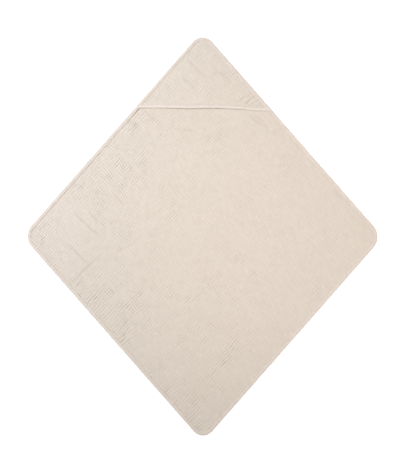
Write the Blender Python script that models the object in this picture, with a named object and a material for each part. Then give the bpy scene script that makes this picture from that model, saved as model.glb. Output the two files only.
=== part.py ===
"""Hooded baby towel, laid flat with its hood corner at +Y.

Run it with: blender --background --python part.py

Two square panels, crinkled muslin on a terry backing, are held together by one strip of bias tape that
is folded over their edges. A lined triangle of the same muslin is caught in that tape over one corner.
Its front edge is free, bound in its own tape, and stands a little off the towel: that is the hood's mouth.

Plan shapes are worked out in the cut frame, where the towel is a true square standing on one corner.
Laying it out pulls the cloth on its bias, which makes the square a slightly longer rhombus. laid() does that.
"""

import math

import bmesh
import bpy
from mathutils import Vector

# Cloth sizes, in metres
CUT_SIDE = 0.800  # side of the square panels
CORNER_RADIUS = 0.043  # round of the four corners as they are cut
TIP_ANGLE = math.radians(82.6)  # angle of the hood's corner once the cloth is laid out
TERRY = 0.0024  # thickness of the terry backing
MUSLIN = 0.0010  # thickness of one crinkled muslin layer
SEWN_TERRY = 0.0009  # thickness of the terry where the tape squeezes it
SEWN_MUSLIN = 0.0006  # thickness of the muslin where the tape squeezes it
TAPE = 0.0006  # thickness of the bias tape
TAPE_WIDTH = 0.010  # width of the tape on each face
SWELL = 0.004  # distance over which a panel swells from its sewn thickness to its full one
GAP = 0.0003  # air between pieces that touch

# Hood
HOOD_DEPTH = 0.226  # on the centre line, from where the two sides would meet to the hood's front edge
HOOD_EDGE_SLOPE = -0.0196  # the hood is sewn in about a degree off square
MOUTH_LIFT = 0.009  # how far the middle of the mouth stands up

# Stitching and label
THREAD = 0.0005  # thickness of the topstitch thread
STITCH_MARGIN = 0.0012  # from the row of stitches to the tape's inner edge
LABEL_WIDTH = 0.016
LABEL_LENGTH = 0.028
LABEL_THICKNESS = 0.0005
LABEL_FROM_CORNER = 0.215  # along the lower left side, from the left corner

# Facets
ARC_STEPS = 8  # flats in each rounded corner
HOOD_SIDE_STEPS = 6  # flats along each side of the hood
RINGS = 9  # rings of the hood between its seam and the middle of its mouth

# Worked out from the sizes above
WIDTH_PULL = math.sqrt(2) * math.sin(TIP_ANGLE / 2)
LENGTH_PULL = math.sqrt(2) * math.cos(TIP_ANGLE / 2)
HALF_DIAGONAL = CUT_SIDE / math.sqrt(2)
CORNER_CENTRE = HALF_DIAGONAL - CORNER_RADIUS * math.sqrt(2)
HOOD_EDGE_Y = HALF_DIAGONAL * LENGTH_PULL - HOOD_DEPTH
RAW_EDGE = TAPE + GAP  # how far the raw edges stay inside the fold of the tape
TAPE_CLEAR = TAPE_WIDTH + GAP
SWOLLEN = TAPE_CLEAR + SWELL  # from here inwards every layer has its full thickness
UNDER_HOOD = GAP + TAPE + GAP  # room between the face and the hood for the hood's own tape

# Heights of each layer as (underside, top), inside the tape and then in the open
BACK_SEWN = (TAPE + GAP, TAPE + GAP + SEWN_TERRY)
FACE_SEWN = (BACK_SEWN[1] + GAP, BACK_SEWN[1] + GAP + SEWN_MUSLIN)
LINING_SEWN = (FACE_SEWN[1] + UNDER_HOOD, FACE_SEWN[1] + UNDER_HOOD + SEWN_MUSLIN)
HOOD_SEWN = (LINING_SEWN[1] + GAP, LINING_SEWN[1] + GAP + SEWN_MUSLIN)
BACK_OPEN = (0.0, TERRY)
FACE_OPEN = (TERRY + GAP, TERRY + GAP + MUSLIN)
LINING_OPEN = (FACE_OPEN[1] + UNDER_HOOD, FACE_OPEN[1] + UNDER_HOOD + MUSLIN)
HOOD_OPEN = (LINING_OPEN[1] + GAP, LINING_OPEN[1] + GAP + MUSLIN)
TAPE_TOP_BODY = FACE_SEWN[1] + GAP + TAPE
TAPE_TOP_HOOD = HOOD_SEWN[1] + GAP + TAPE


def laid(x, y, z):
    """A point of the cut frame, moved to where it lies once the cloth is laid out."""
    return Vector((x * WIDTH_PULL, y * LENGTH_PULL, z))


def fabric(name, colour, roughness):
    """A cloth material: no metal, and rough."""
    material = bpy.data.materials.new(name)
    material.use_nodes = True
    surface = material.node_tree.nodes["Principled BSDF"]
    surface.inputs["Base Color"].default_value = (*colour, 1.0)
    surface.inputs["Roughness"].default_value = roughness
    surface.inputs["Metallic"].default_value = 0.0
    return material


def add_object(name, bm, material):
    """Closes the bmesh into a named object of the scene."""
    bmesh.ops.recalc_face_normals(bm, faces=bm.faces)
    mesh = bpy.data.meshes.new(name)
    bm.to_mesh(mesh)
    bm.free()
    mesh.materials.append(material)
    made = bpy.data.objects.new(name, mesh)
    bpy.context.scene.collection.objects.link(made)
    return made


# ---------------------------------------------------------------- plan of the towel's edge


def corner_stations(number):
    """Stations round one rounded corner: number 0 is the hood's tip, and 1, 2 and 3 follow anticlockwise."""
    middle = math.radians(90 + 90 * number)
    centre = Vector((math.cos(middle), math.sin(middle))) * CORNER_CENTRE
    angles = [middle + math.radians(90 * step / ARC_STEPS - 45) for step in range(ARC_STEPS + 1)]
    return [(centre, Vector((math.cos(angle), math.sin(angle)))) for angle in angles]


def side_station(side, y):
    """A station on one of the two upper sides (side -1 is left, 1 is right), at the height y."""
    outward = Vector((side, 1)).normalized()
    on_edge = Vector((side * (HALF_DIAGONAL - y), y))
    return on_edge - outward * CORNER_RADIUS, outward


def at_inset(station, inset):
    """The cut frame's point of a station, this far inside the towel's edge."""
    centre, outward = station
    return centre + outward * (CORNER_RADIUS - inset)


def mouth_end(side, inset, setback=0.0):
    """Where the hood's front edge, or a line this far behind it, meets the line this far inside a side."""
    reach = HALF_DIAGONAL - inset * math.sqrt(2)
    slope = side * HOOD_EDGE_SLOPE * WIDTH_PULL
    y = (HOOD_EDGE_Y + setback + slope * reach) / (LENGTH_PULL + slope)
    return Vector((side * (reach - y), y))


def edge_stations():
    """Stations all the way round, with two more on each upper side, where the tape thickens for the hood."""
    rise = TAPE_WIDTH * 2
    stations = []
    for number in range(4):
        stations += corner_stations(number)
        if number == 0:
            stations += [side_station(-1, mouth_end(-1, 0).y - drop) for drop in (0.0, rise)]
        if number == 3:
            stations += [side_station(1, mouth_end(1, 0).y - drop) for drop in (rise, 0.0)]
    return stations


def tape_top(point):
    """Height of the edge tape's top at a point of the cut frame. It is thicker where it holds the hood."""
    corner = mouth_end(1 if point.x > 0 else -1, 0).y
    return TAPE_TOP_HOOD if point.y > corner - TAPE_WIDTH else TAPE_TOP_BODY


# ---------------------------------------------------------------- panels and the tape round them


def swept_ring(name, profile, material):
    """A closed ring round the towel. profile(station) gives the section's corners as (inset, height)."""
    bm = bmesh.new()
    rows = []
    for station in edge_stations():
        corners = []
        for inset, height in profile(station):
            point = at_inset(station, inset)
            corners.append(bm.verts.new(laid(point.x, point.y, height)))
        rows.append(corners)
    for row, following in zip(rows, rows[1:] + rows[:1]):
        for i in range(len(row)):
            j = (i + 1) % len(row)
            bm.faces.new((row[i], row[j], following[j], following[i]))
    return add_object(name, bm, material)


def square_panel(name, sewn, opened, material):
    """One of the two square layers: thin where the tape holds it, and its full thickness in the open."""
    bm = bmesh.new()
    section = [
        (SWOLLEN, opened[0]),
        (TAPE_CLEAR, sewn[0]),
        (RAW_EDGE, sewn[0]),
        (RAW_EDGE, sewn[1]),
        (TAPE_CLEAR, sewn[1]),
        (SWOLLEN, opened[1]),
    ]
    loops = []
    for inset, height in section:
        points = [at_inset(station, inset) for number in range(4) for station in corner_stations(number)]
        loops.append([bm.verts.new(laid(p.x, p.y, height)) for p in points])
    for lower, upper in zip(loops, loops[1:]):
        for i in range(len(lower)):
            j = (i + 1) % len(lower)
            bm.faces.new((lower[i], lower[j], upper[j], upper[i]))
    bm.faces.new(loops[0])
    bm.faces.new(loops[-1])
    return add_object(name, bm, material)


def edge_tape_section(station):
    """The tape's section at a station: a channel that opens inwards, round the layers' raw edges."""
    top = tape_top(at_inset(station, 0))
    return [
        (0.0, 0.0),
        (TAPE_WIDTH, 0.0),
        (TAPE_WIDTH, TAPE),
        (TAPE, TAPE),
        (TAPE, top - TAPE),
        (TAPE_WIDTH, top - TAPE),
        (TAPE_WIDTH, top),
        (0.0, top),
    ]


def edge_thread_section(station):
    """The topstitch on the edge tape, a square thread lying on it."""
    low = tape_top(at_inset(station, 0)) + GAP
    outer = TAPE_WIDTH - STITCH_MARGIN - THREAD
    return [(outer, low), (outer + THREAD, low), (outer + THREAD, low + THREAD), (outer, low + THREAD)]


# ---------------------------------------------------------------- hood


def hood_lift(point):
    """How far the hood stands up at a point: nothing at its seams, and most at the mouth's middle."""

    def inside(x, y, side):
        return max(0.0, (HALF_DIAGONAL - side * x - y) / math.sqrt(2) - SWOLLEN)

    full = inside(0.0, HOOD_EDGE_Y / LENGTH_PULL, 1) ** 2
    share = min(1.0, inside(point.x, point.y, 1) * inside(point.x, point.y, -1) / full)
    return MOUTH_LIFT * (1 - (1 - share) ** 2)


def hood_contour(inset, setback):
    """Points round the hood at one inset, from the mouth's left end over the tip to its right end."""
    tip = [at_inset(station, inset) for station in reversed(corner_stations(0))]
    tip.sort(key=lambda point: point.x)
    start = mouth_end(-1, inset, setback)
    finish = mouth_end(1, inset, setback)
    left = [start.lerp(tip[0], step / HOOD_SIDE_STEPS) for step in range(HOOD_SIDE_STEPS)]
    right = [tip[-1].lerp(finish, step / HOOD_SIDE_STEPS) for step in range(1, HOOD_SIDE_STEPS + 1)]
    return left + tip + right


def hood_layer(name, sewn, opened, material):
    """One layer of the hood. Its rings run from the raw edge in to the middle of the mouth."""
    setback = RAW_EDGE
    seam = hood_contour(SWOLLEN, setback)
    middle = Vector((0.0, (HOOD_EDGE_Y + setback) / LENGTH_PULL))
    rings = [
        (hood_contour(RAW_EDGE, setback), sewn),
        (hood_contour(TAPE_CLEAR, setback), sewn),
        (seam, opened),
    ]
    rings += [([point.lerp(middle, ring / RINGS) for point in seam], opened) for ring in range(1, RINGS)]
    bm = bmesh.new()
    sheets = []
    for face in (0, 1):
        rows = []
        for ring, heights in rings:
            rows.append([bm.verts.new(laid(p.x, p.y, heights[face] + hood_lift(p))) for p in ring])
        for row, following in zip(rows, rows[1:]):
            for i in range(len(row) - 1):
                bm.faces.new((row[i], row[i + 1], following[i + 1], following[i]))
        bm.faces.new(rows[-1])
        sheets.append(rows)
    low, high = sheets
    rim = low[0] + [row[-1] for row in low[1:]] + [row[0] for row in reversed(low[1:])]
    rim_above = high[0] + [row[-1] for row in high[1:]] + [row[0] for row in reversed(high[1:])]
    for i in range(len(rim)):
        j = (i + 1) % len(rim)
        bm.faces.new((rim[i], rim[j], rim_above[j], rim_above[i]))
    return add_object(name, bm, material)


def mouth_rows(setback):
    """Points along a line this far behind the hood's front edge, each with True where it is sewn flat.

    They run from one side's tape to the other's, and stand where the hood's layers have their own corners.
    """
    left, right = (mouth_end(side, SWOLLEN, setback) for side in (-1, 1))
    middle = Vector((0.0, (HOOD_EDGE_Y + setback) / LENGTH_PULL))
    rows = [(mouth_end(-1, TAPE_CLEAR, setback), True)]
    rows += [(left.lerp(middle, ring / RINGS), False) for ring in range(RINGS + 1)]
    rows += [(middle.lerp(right, ring / RINGS), False) for ring in range(1, RINGS + 1)]
    rows.append((mouth_end(1, TAPE_CLEAR, setback), True))
    return rows


def mouth_sweep(name, section, material):
    """A bar along the hood's front edge. Each corner of section is (setback, height, height if sewn flat)."""
    bm = bmesh.new()
    lines = []
    for setback, height, sewn_height in section:
        line = []
        for point, sewn in mouth_rows(setback):
            z = (sewn_height if sewn else height) + hood_lift(point)
            line.append(bm.verts.new(laid(point.x, point.y, z)))
        lines.append(line)
    for line, following in zip(lines, lines[1:] + lines[:1]):
        for i in range(len(line) - 1):
            bm.faces.new((line[i], line[i + 1], following[i + 1], following[i]))
    bm.faces.new([line[0] for line in lines])
    bm.faces.new([line[-1] for line in lines])
    return add_object(name, bm, material)


def hood_tape_section():
    """The hood tape's section, a channel that opens backwards round the hood's two layers."""
    low = LINING_OPEN[0] - GAP
    low_sewn = LINING_SEWN[0] - GAP
    high = HOOD_OPEN[1] + GAP
    high_sewn = HOOD_SEWN[1] + GAP
    return [
        (0.0, low - TAPE, low_sewn - TAPE),
        (TAPE_WIDTH, low - TAPE, low_sewn - TAPE),
        (TAPE_WIDTH, low, low_sewn),
        (TAPE, low, low_sewn),
        (TAPE, high, high_sewn),
        (TAPE_WIDTH, high, high_sewn),
        (TAPE_WIDTH, high + TAPE, high_sewn + TAPE),
        (0.0, high + TAPE, high_sewn + TAPE),
    ]


def hood_thread_section():
    """The topstitch on the hood's tape, a square thread lying on it."""
    outer = TAPE_WIDTH - STITCH_MARGIN - THREAD
    low = HOOD_OPEN[1] + GAP + TAPE + GAP
    low_sewn = HOOD_SEWN[1] + GAP + TAPE + GAP
    return [
        (outer, low, low_sewn),
        (outer + THREAD, low, low_sewn),
        (outer + THREAD, low + THREAD, low_sewn + THREAD),
        (outer, low + THREAD, low_sewn + THREAD),
    ]


# ---------------------------------------------------------------- care label under the towel


def label_block(margin, low, high, start):
    """A block on the label's place, from start inside the towel's edge. margin widens and lengthens it."""
    along = Vector((1, -1)).normalized()
    inward = Vector((1, 1)).normalized()
    root = Vector((-HALF_DIAGONAL, 0)) + along * LABEL_FROM_CORNER
    half = LABEL_WIDTH / 2 + margin
    end = TAPE_CLEAR + LABEL_LENGTH + margin
    corners = ((-half, start), (half, start), (half, end), (-half, end))
    plan = [root + along * a + inward * b for a, b in corners]
    bm = bmesh.new()
    lower = [bm.verts.new(laid(p.x, p.y, low)) for p in plan]
    upper = [bm.verts.new(laid(p.x, p.y, high)) for p in plan]
    bm.faces.new(lower)
    bm.faces.new(upper)
    for i in range(4):
        j = (i + 1) % 4
        bm.faces.new((lower[i], lower[j], upper[j], upper[i]))
    return bm


def care_label(material):
    """The folded satin label, sewn in beside the edge tape and lying under the towel."""
    return add_object("care_label", label_block(0.0, 0.0, LABEL_THICKNESS, TAPE_CLEAR), material)


def press_label_into(panel, material):
    """Presses the label's place into the underside of the panel, so that both lie on the same surface."""
    block = label_block(GAP, -TERRY, LABEL_THICKNESS + GAP, TAPE_CLEAR - TAPE_WIDTH / 2)
    cutter = add_object("label_recess", block, material)
    cutter.hide_render = True
    cutter.display_type = "WIRE"
    cut = panel.modifiers.new("label recess", "BOOLEAN")
    cut.operation = "DIFFERENCE"
    cut.solver = "EXACT"
    cut.object = cutter


def main():
    """Clears the scene and builds the towel."""
    for old in list(bpy.data.objects):
        bpy.data.objects.remove(old)
    muslin = fabric("muslin", (0.78, 0.69, 0.60), 0.95)
    terry = fabric("terry", (0.80, 0.72, 0.63), 1.0)
    tape = fabric("bias_tape", (0.76, 0.67, 0.58), 0.9)
    thread = fabric("thread", (0.80, 0.71, 0.62), 0.6)
    satin = fabric("label_satin", (0.88, 0.87, 0.85), 0.4)

    backing = square_panel("terry_backing", BACK_SEWN, BACK_OPEN, terry)
    press_label_into(backing, satin)
    square_panel("muslin_face", FACE_SEWN, FACE_OPEN, muslin)
    swept_ring("edge_binding", edge_tape_section, tape)
    swept_ring("edge_stitching", edge_thread_section, thread)
    hood_layer("hood_lining", LINING_SEWN, LINING_OPEN, muslin)
    hood_layer("hood_face", HOOD_SEWN, HOOD_OPEN, muslin)
    mouth_sweep("hood_binding", hood_tape_section(), tape)
    mouth_sweep("hood_stitching", hood_thread_section(), thread)
    care_label(satin)


main()
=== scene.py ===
"""Looks of the hooded baby towel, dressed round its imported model.

The towel lies spread on a pale floor with its hood's corner at +Y. Every panel is cut from one cloth pattern,
a square standing on its corner, so each piece is shaped in the pattern's two directions and then laid out.
Warp runs from the lower left side to the upper right one, weft from the lower right side to the upper left.
"""

import logging
import math
from collections.abc import Callable, Sequence
from dataclasses import dataclass, field, replace
from enum import Enum
from functools import cache, cached_property, partial

import bmesh
import bpy
import numpy as np
from bpy.types import Material, Node, NodeSocket, Object
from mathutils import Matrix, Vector


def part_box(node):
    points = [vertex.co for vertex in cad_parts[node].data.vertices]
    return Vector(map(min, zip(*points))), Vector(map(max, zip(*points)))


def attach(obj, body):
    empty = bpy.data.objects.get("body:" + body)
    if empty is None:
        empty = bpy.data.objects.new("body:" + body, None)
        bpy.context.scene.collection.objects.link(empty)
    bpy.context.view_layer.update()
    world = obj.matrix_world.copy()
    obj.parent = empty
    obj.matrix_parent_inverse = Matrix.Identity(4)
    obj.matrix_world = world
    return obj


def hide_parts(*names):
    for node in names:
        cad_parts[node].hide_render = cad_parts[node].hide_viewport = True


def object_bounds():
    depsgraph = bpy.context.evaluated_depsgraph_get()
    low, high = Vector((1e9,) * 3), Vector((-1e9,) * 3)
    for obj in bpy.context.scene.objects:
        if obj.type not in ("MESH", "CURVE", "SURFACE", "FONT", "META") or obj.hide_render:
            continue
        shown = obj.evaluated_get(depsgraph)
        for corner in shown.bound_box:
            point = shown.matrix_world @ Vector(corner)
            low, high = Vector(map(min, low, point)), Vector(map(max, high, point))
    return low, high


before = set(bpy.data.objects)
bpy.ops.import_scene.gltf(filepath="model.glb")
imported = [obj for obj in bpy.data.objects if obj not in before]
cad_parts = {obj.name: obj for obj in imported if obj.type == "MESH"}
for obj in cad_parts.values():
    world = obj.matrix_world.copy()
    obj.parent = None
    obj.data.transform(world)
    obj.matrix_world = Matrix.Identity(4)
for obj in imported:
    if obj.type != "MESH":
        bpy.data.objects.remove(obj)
CAD_LOW, CAD_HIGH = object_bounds()

LOG = logging.getLogger("towel")
MM = 0.001
ROOT_HALF = math.sqrt(0.5)
BODY = "root"
CLOTH_MAP = "cloth"
# share of the deeper colour at each point: painted shade in valleys, creases, grooves and under folds,
# painted light on ridges
PAINTED_SHADE = "painted_shade"
BUSY = "busyness"
THREAD_RADIUS = 0.32 * MM
STITCH_REACH = 0.38  # half a stitch's length, as a share of the stitches' spacing
WRINKLES_IN_A_PATCH = 2.5
ONE_BAND = 0.314  # the scale at which a wave texture has about one band to a unit
FIELD_COVER = 1.1  # the fields of heights are this many times as wide as the pattern
LEVEL_SHADE = 0.25  # share of the deeper shade that level cloth has
MOST_SHADE = 0.9
SHADED_DEPTH = 0.9 * MM  # a crinkle this much deeper takes the whole deeper colour as painted shade
TINY = 1e-12

Array = np.ndarray
Shaped = tuple[Array, Array, dict[str, Array]]  # places, cloth map, and marks by name


# ---------------------------------------------------------------- helpers


def linear(shade: str) -> tuple[float, float, float, float]:
    """Turns a colour written as sRGB hex into linear red, green, blue and alpha.

    Args:
        shade: the colour, such as "E7DACD".

    Returns:
        The four linear components.
    """
    parts = [int(shade[i : i + 2], 16) / 255 for i in (0, 2, 4)]
    levels = [part / 12.92 if part <= 0.04045 else ((part + 0.055) / 1.055) ** 2.4 for part in parts]
    return (*levels, 1.0)


def smooth(value: Array, start: float, end: float) -> Array:
    """A soft step from 0 at start to 1 at end."""
    share = np.clip((value - start) / (end - start), 0, 1)
    return share * share * (3 - 2 * share)


def link(piece: Object) -> Object:
    """Puts an object in the scene."""
    bpy.context.scene.collection.objects.link(piece)
    return piece


def grid_piece(
    name: str,
    across: int,
    along: int,
    shape: Callable[[Array, Array], Shaped],
    *,
    welded: bool = False,
    cut: tuple[Vector, Vector] | None = None,
    flip: bool = False,
) -> Object:
    """Makes a piece of cloth from a flat grid that is bent to its shape.

    Args:
        name: the piece's name.
        across: rows of faces in the first direction.
        along: rows of faces in the second direction.
        shape: takes each corner's two shares, 0 to 1, and gives its place, its cloth map and its marks.
        welded: sides of the grid that meet are joined.
        cut: a point and a direction in the flat grid's own 0 to 1 frame; the cloth past them is cut away.
        flip: the faces point the other way.

    Returns:
        The new object, with its place in its mesh.
    """
    bm = bmesh.new()
    bmesh.ops.create_grid(bm, x_segments=across, y_segments=along, size=0.5)
    bmesh.ops.translate(bm, verts=bm.verts, vec=(0.5, 0.5, 0.0))
    if cut:
        geometry = [*bm.verts, *bm.edges, *bm.faces]
        bmesh.ops.bisect_plane(bm, geom=geometry, plane_co=cut[0], plane_no=cut[1], clear_outer=True)
    if flip:
        bmesh.ops.reverse_faces(bm, faces=bm.faces)
    mesh = bpy.data.meshes.new(name)
    bm.to_mesh(mesh)
    bm.free()

    flat = np.zeros(len(mesh.vertices) * 3)
    mesh.vertices.foreach_get("co", flat)
    first, second, _ = flat.reshape(-1, 3).T
    places, cloth, marks = shape(first, second)
    corners = np.zeros(len(mesh.loops), int)
    mesh.loops.foreach_get("vertex_index", corners)
    cloth_map = mesh.uv_layers.new(name=CLOTH_MAP)
    cloth_map.data.foreach_set("uv", cloth[corners].astype(np.float32).ravel())
    mesh.vertices.foreach_set("co", places.astype(np.float32).ravel())
    for mark, values in {PAINTED_SHADE: np.zeros_like(first), BUSY: np.ones_like(first), **marks}.items():
        mesh.attributes.new(mark, "FLOAT", "POINT").data.foreach_set("value", values.astype(np.float32))
    if welded:
        bm = bmesh.new()
        bm.from_mesh(mesh)
        bmesh.ops.remove_doubles(bm, verts=bm.verts, dist=0.002 * MM)
        bm.to_mesh(mesh)
        bm.free()
    mesh.update()
    mesh.shade_smooth()
    return link(bpy.data.objects.new(name, mesh))


def stitch_row(name: str, rows: Sequence[tuple[Array, Array]]) -> Object:
    """Makes rows of separate stitches, each a short plump length of thread that dips at both its ends.

    Args:
        name: the piece's name.
        rows: for each row, where its stitches start and where they end.

    Returns:
        The new object.
    """
    starts, ends = (np.concatenate(side) for side in zip(*rows))
    one = bmesh.new()
    bmesh.ops.create_uvsphere(one, u_segments=6, v_segments=4, radius=1.0)
    capsule = bpy.data.meshes.new(name + "_one")
    one.to_mesh(capsule)
    one.free()
    joined = bmesh.new()
    for _ in starts:
        joined.from_mesh(capsule)
    mesh = bpy.data.meshes.new(name)
    joined.to_mesh(mesh)
    joined.free()

    plump = np.zeros(len(capsule.vertices) * 3)
    capsule.vertices.foreach_get("co", plump)
    bpy.data.meshes.remove(capsule)
    run = ends - starts
    length = np.linalg.norm(run, axis=1, keepdims=True)
    beside = np.cross((0.0, 0.0, 1.0), run / length)
    beside /= np.linalg.norm(beside, axis=1, keepdims=True)
    above = np.cross(run / length, beside)
    half_run = run * 0.52  # a little past both ends
    turned = np.stack((beside * THREAD_RADIUS, above * THREAD_RADIUS, half_run), axis=1)
    places = plump.reshape(1, -1, 3) @ turned + ((starts + ends) / 2)[:, None]
    mesh.vertices.foreach_set("co", places.astype(np.float32).ravel())
    mesh.update()
    mesh.shade_smooth()
    return link(bpy.data.objects.new(name, mesh))


# ---------------------------------------------------------------- pattern


@dataclass(frozen=True)
class Pattern:
    """The towel's cut: a square with rounded corners, pulled on the bias where it is laid out."""

    side: float = 0.800
    corner_radius: float = 0.043
    tape_width: float = 0.010
    hood_slope: float = -0.0196
    upper_left_give: float = 0.0072  # the upper left side lies pulled out by this share

    @property
    def half(self) -> float:
        """Half the square's side."""
        return self.side / 2

    @property
    def perimeter(self) -> float:
        """Length of the towel's edge in the pattern."""
        return 8 * (self.half - self.corner_radius) + math.tau * self.corner_radius

    @cached_property
    def pulls(self) -> tuple[float, float]:
        """How much wider and longer the cloth lies than it was cut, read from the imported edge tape."""
        reach = self.half / ROOT_HALF - self.corner_radius * (1 / ROOT_HALF - 1)
        return tuple(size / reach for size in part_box("edge_binding")[1][:2])

    @cached_property
    def hood_line(self) -> float:
        """Where the hood's front edge crosses the centre line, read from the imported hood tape."""
        low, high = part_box("hood_binding")
        return low.y - self.hood_slope * high.x

    def inset(self, warp: Array, weft: Array) -> Array:
        """How far points of the square, before its corners are rounded, lie inside its sides."""
        return self.half - np.maximum(np.abs(warp), np.abs(weft))

    def rounded(self, warp: Array, weft: Array) -> tuple[Array, Array]:
        """Draws the square's corners in, so that each of its shells has round corners.

        Args:
            warp: the points' warp in the square.
            weft: their weft.

        Returns:
            Their warp and weft in the rounded pattern.
        """
        straight = self.half - self.corner_radius
        over_warp = np.maximum(np.abs(warp) - straight, 0)
        over_weft = np.maximum(np.abs(weft) - straight, 0)
        draw = np.maximum(over_warp, over_weft) / np.maximum(np.hypot(over_warp, over_weft), TINY)
        round_warp = np.sign(warp) * (np.minimum(np.abs(warp), straight) + over_warp * draw)
        round_weft = np.sign(weft) * (np.minimum(np.abs(weft), straight) + over_weft * draw)
        return round_warp, round_weft

    def spread(self, first: Array, second: Array, low: float, high: float) -> tuple[Array, Array, Array]:
        """Warp, weft and inset of a grid's corners, spread from low to high in both directions."""
        square = [low + share * (high - low) for share in (first, second)]
        return (*self.rounded(*square), self.inset(*square))

    def laid(self, warp: Array, weft: Array, height: Array) -> Array:
        """Lays points of the pattern out on the floor.

        Args:
            warp: the points' warp.
            weft: their weft.
            height: their heights.

        Returns:
            Their places, one row for each point.
        """
        wide, long = self.pulls
        pulled = weft * (1 + self.upper_left_give * smooth(weft, 0, self.half))
        x = (warp - pulled) * ROOT_HALF * wide
        y = (warp + pulled) * ROOT_HALF * long
        return np.stack((x, y, height), axis=1)

    def seen(self, warp: Array, weft: Array) -> tuple[Array, Array]:
        """Where points of the pattern lie, seen from above."""
        return self.laid(warp, weft, warp * 0)[:, :2].T

    def behind_mouth(self, warp: Array, weft: Array) -> Array:
        """How far points lie behind the hood's front edge, on the laid towel."""
        x, y = (side * ROOT_HALF * pull for side, pull in zip((warp - weft, warp + weft), self.pulls))
        return (y - self.hood_line - self.hood_slope * x) / math.hypot(1, self.hood_slope)

    def edge(self, run: Array, inset: Array) -> tuple[Array, Array]:
        """Finds points beside the towel's edge.

        Args:
            run: distance along the edge, from the left corner over the hood's tip and round clockwise.
            inset: distance inside the edge.

        Returns:
            Their warp and weft.
        """
        straight = self.half - self.corner_radius
        quarter = self.perimeter / 4
        side = np.floor(run / quarter).astype(int) % 4
        rest = run - np.floor(run / quarter) * quarter
        turn = np.maximum(rest - 2 * straight, 0) / self.corner_radius
        first = np.minimum(rest, 2 * straight) - straight + (self.corner_radius - inset) * np.sin(turn)
        second = straight + (self.corner_radius - inset) * np.cos(turn)
        warp = np.choose(side, (first, second, -first, -second))
        weft = np.choose(side, (second, -first, -second, first))
        return warp, weft


PATTERN = Pattern()


def draw_field(seed: int, step: float, keep: Callable[[Array, Array], Array]) -> Array:
    """Draws noise on an even grid over the pattern, and keeps only some of its waves.

    Args:
        seed: the noise's seed.
        step: distance between the grid's points.
        keep: takes the waves' rates along the warp and the weft, and gives the share of each that stays.

    Returns:
        The square field, with a spread of 1.
    """
    count = int(PATTERN.side * FIELD_COVER / step)
    noise = np.random.default_rng(seed).standard_normal((count, count))
    rates = np.fft.fftfreq(count, step)
    shares = keep(*np.meshgrid(rates, rates, indexing="ij"))
    heights = np.real(np.fft.ifft2(np.fft.fft2(noise) * shares))
    return heights / heights.std()


def sample(heights: Array, warp: Array, weft: Array) -> Array:
    """Reads a field that covers the pattern, between its grid points.

    Args:
        heights: the square field.
        warp: the points' warp.
        weft: the points' weft.

    Returns:
        The field at each point.
    """
    last = len(heights) - 1
    reach = PATTERN.side * FIELD_COVER
    i = np.clip((warp / reach + 0.5) * last, 0, last - 1e-6)
    j = np.clip((weft / reach + 0.5) * last, 0, last - 1e-6)
    i0, j0 = i.astype(int), j.astype(int)
    di, dj = i - i0, j - j0
    near = heights[i0, j0] * (1 - dj) + heights[i0, j0 + 1] * dj
    far = heights[i0 + 1, j0] * (1 - dj) + heights[i0 + 1, j0 + 1] * dj
    return near * (1 - di) + far * di


@dataclass(frozen=True)
class Relief:
    """Rows of crinkles such as washed gauze has. They keep an even pitch, but fork, drift and fade.

    The rows run along the warp, or are turned from it, and their heights have a spread of 1.
    """

    pitch: float
    run: float
    turn: float = 0.0
    looseness: float = 0.22
    seed: int = 1
    step: float = 1.25 * MM

    def keep(self, warp_rate: Array, weft_rate: Array) -> Array:
        """Tells how much of each wave belongs to the rows.

        Args:
            warp_rate: the waves' rates along the warp.
            weft_rate: their rates along the weft.

        Returns:
            The share of each wave that stays.
        """
        along = warp_rate * math.cos(self.turn) + weft_rate * math.sin(self.turn)
        beside = weft_rate * math.cos(self.turn) - warp_rate * math.sin(self.turn)
        off_pitch = (np.abs(beside) * self.pitch - 1) / self.looseness
        return np.exp(-0.5 * off_pitch**2 - 0.5 * (along * self.run) ** 2 * math.tau)

    def at(self, warp: Array, weft: Array) -> Array:
        """The heights at points of the pattern."""
        return sample(draw_field(self.seed, self.step, self.keep), warp, weft)


@dataclass(frozen=True)
class Patches:
    """Slow, soft changes over the cloth, with a spread of 1. They may be longer along the warp."""

    size: float
    stretch: float = 1.0
    seed: int = 1
    step: float = 4 * MM

    def keep(self, warp_rate: Array, weft_rate: Array) -> Array:
        """How much of the waves with these rates belongs to the patches, and nothing of the level itself."""
        bends = (warp_rate * self.size * self.stretch) ** 2 + (weft_rate * self.size) ** 2
        return np.where(bends > 0, np.exp(-0.5 * bends * math.tau), 0)

    def at(self, warp: Array, weft: Array) -> Array:
        """The changes at points of the pattern."""
        return sample(draw_field(self.seed, self.step, self.keep), warp, weft)


@dataclass(frozen=True)
class Crease:
    """One pressed line in the cloth, from start to end on the laid towel."""

    start: tuple[float, float]
    end: tuple[float, float]
    width: float
    depth: float

    def at(self, x: Array, y: Array) -> Array:
        """Presses the crease: a narrow valley with a low swell on both its sides.

        Args:
            x: the points' places from left to right.
            y: their places from the bottom to the hood.

        Returns:
            The height that the crease adds at each point.
        """
        run = np.array(self.end) - np.array(self.start)
        length = math.hypot(*run)
        along = ((x - self.start[0]) * run[0] + (y - self.start[1]) * run[1]) / length
        beside = ((y - self.start[1]) * run[0] - (x - self.start[0]) * run[1]) / length
        taper = 0.25 * length
        fade = smooth(along, -taper, taper) * smooth(length - along, -taper, taper)
        share = (beside / self.width) ** 2
        return -self.depth * fade * (1 - share) * np.exp(-share)


def crumpled(rows: Array, sharpness: float = 0.45) -> Array:
    """Makes rows of crinkles broad on top and narrow in their valleys."""
    return (1 - np.exp(-sharpness * np.clip(rows, -3, 3))) / sharpness


# ---------------------------------------------------------------- finishes


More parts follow.
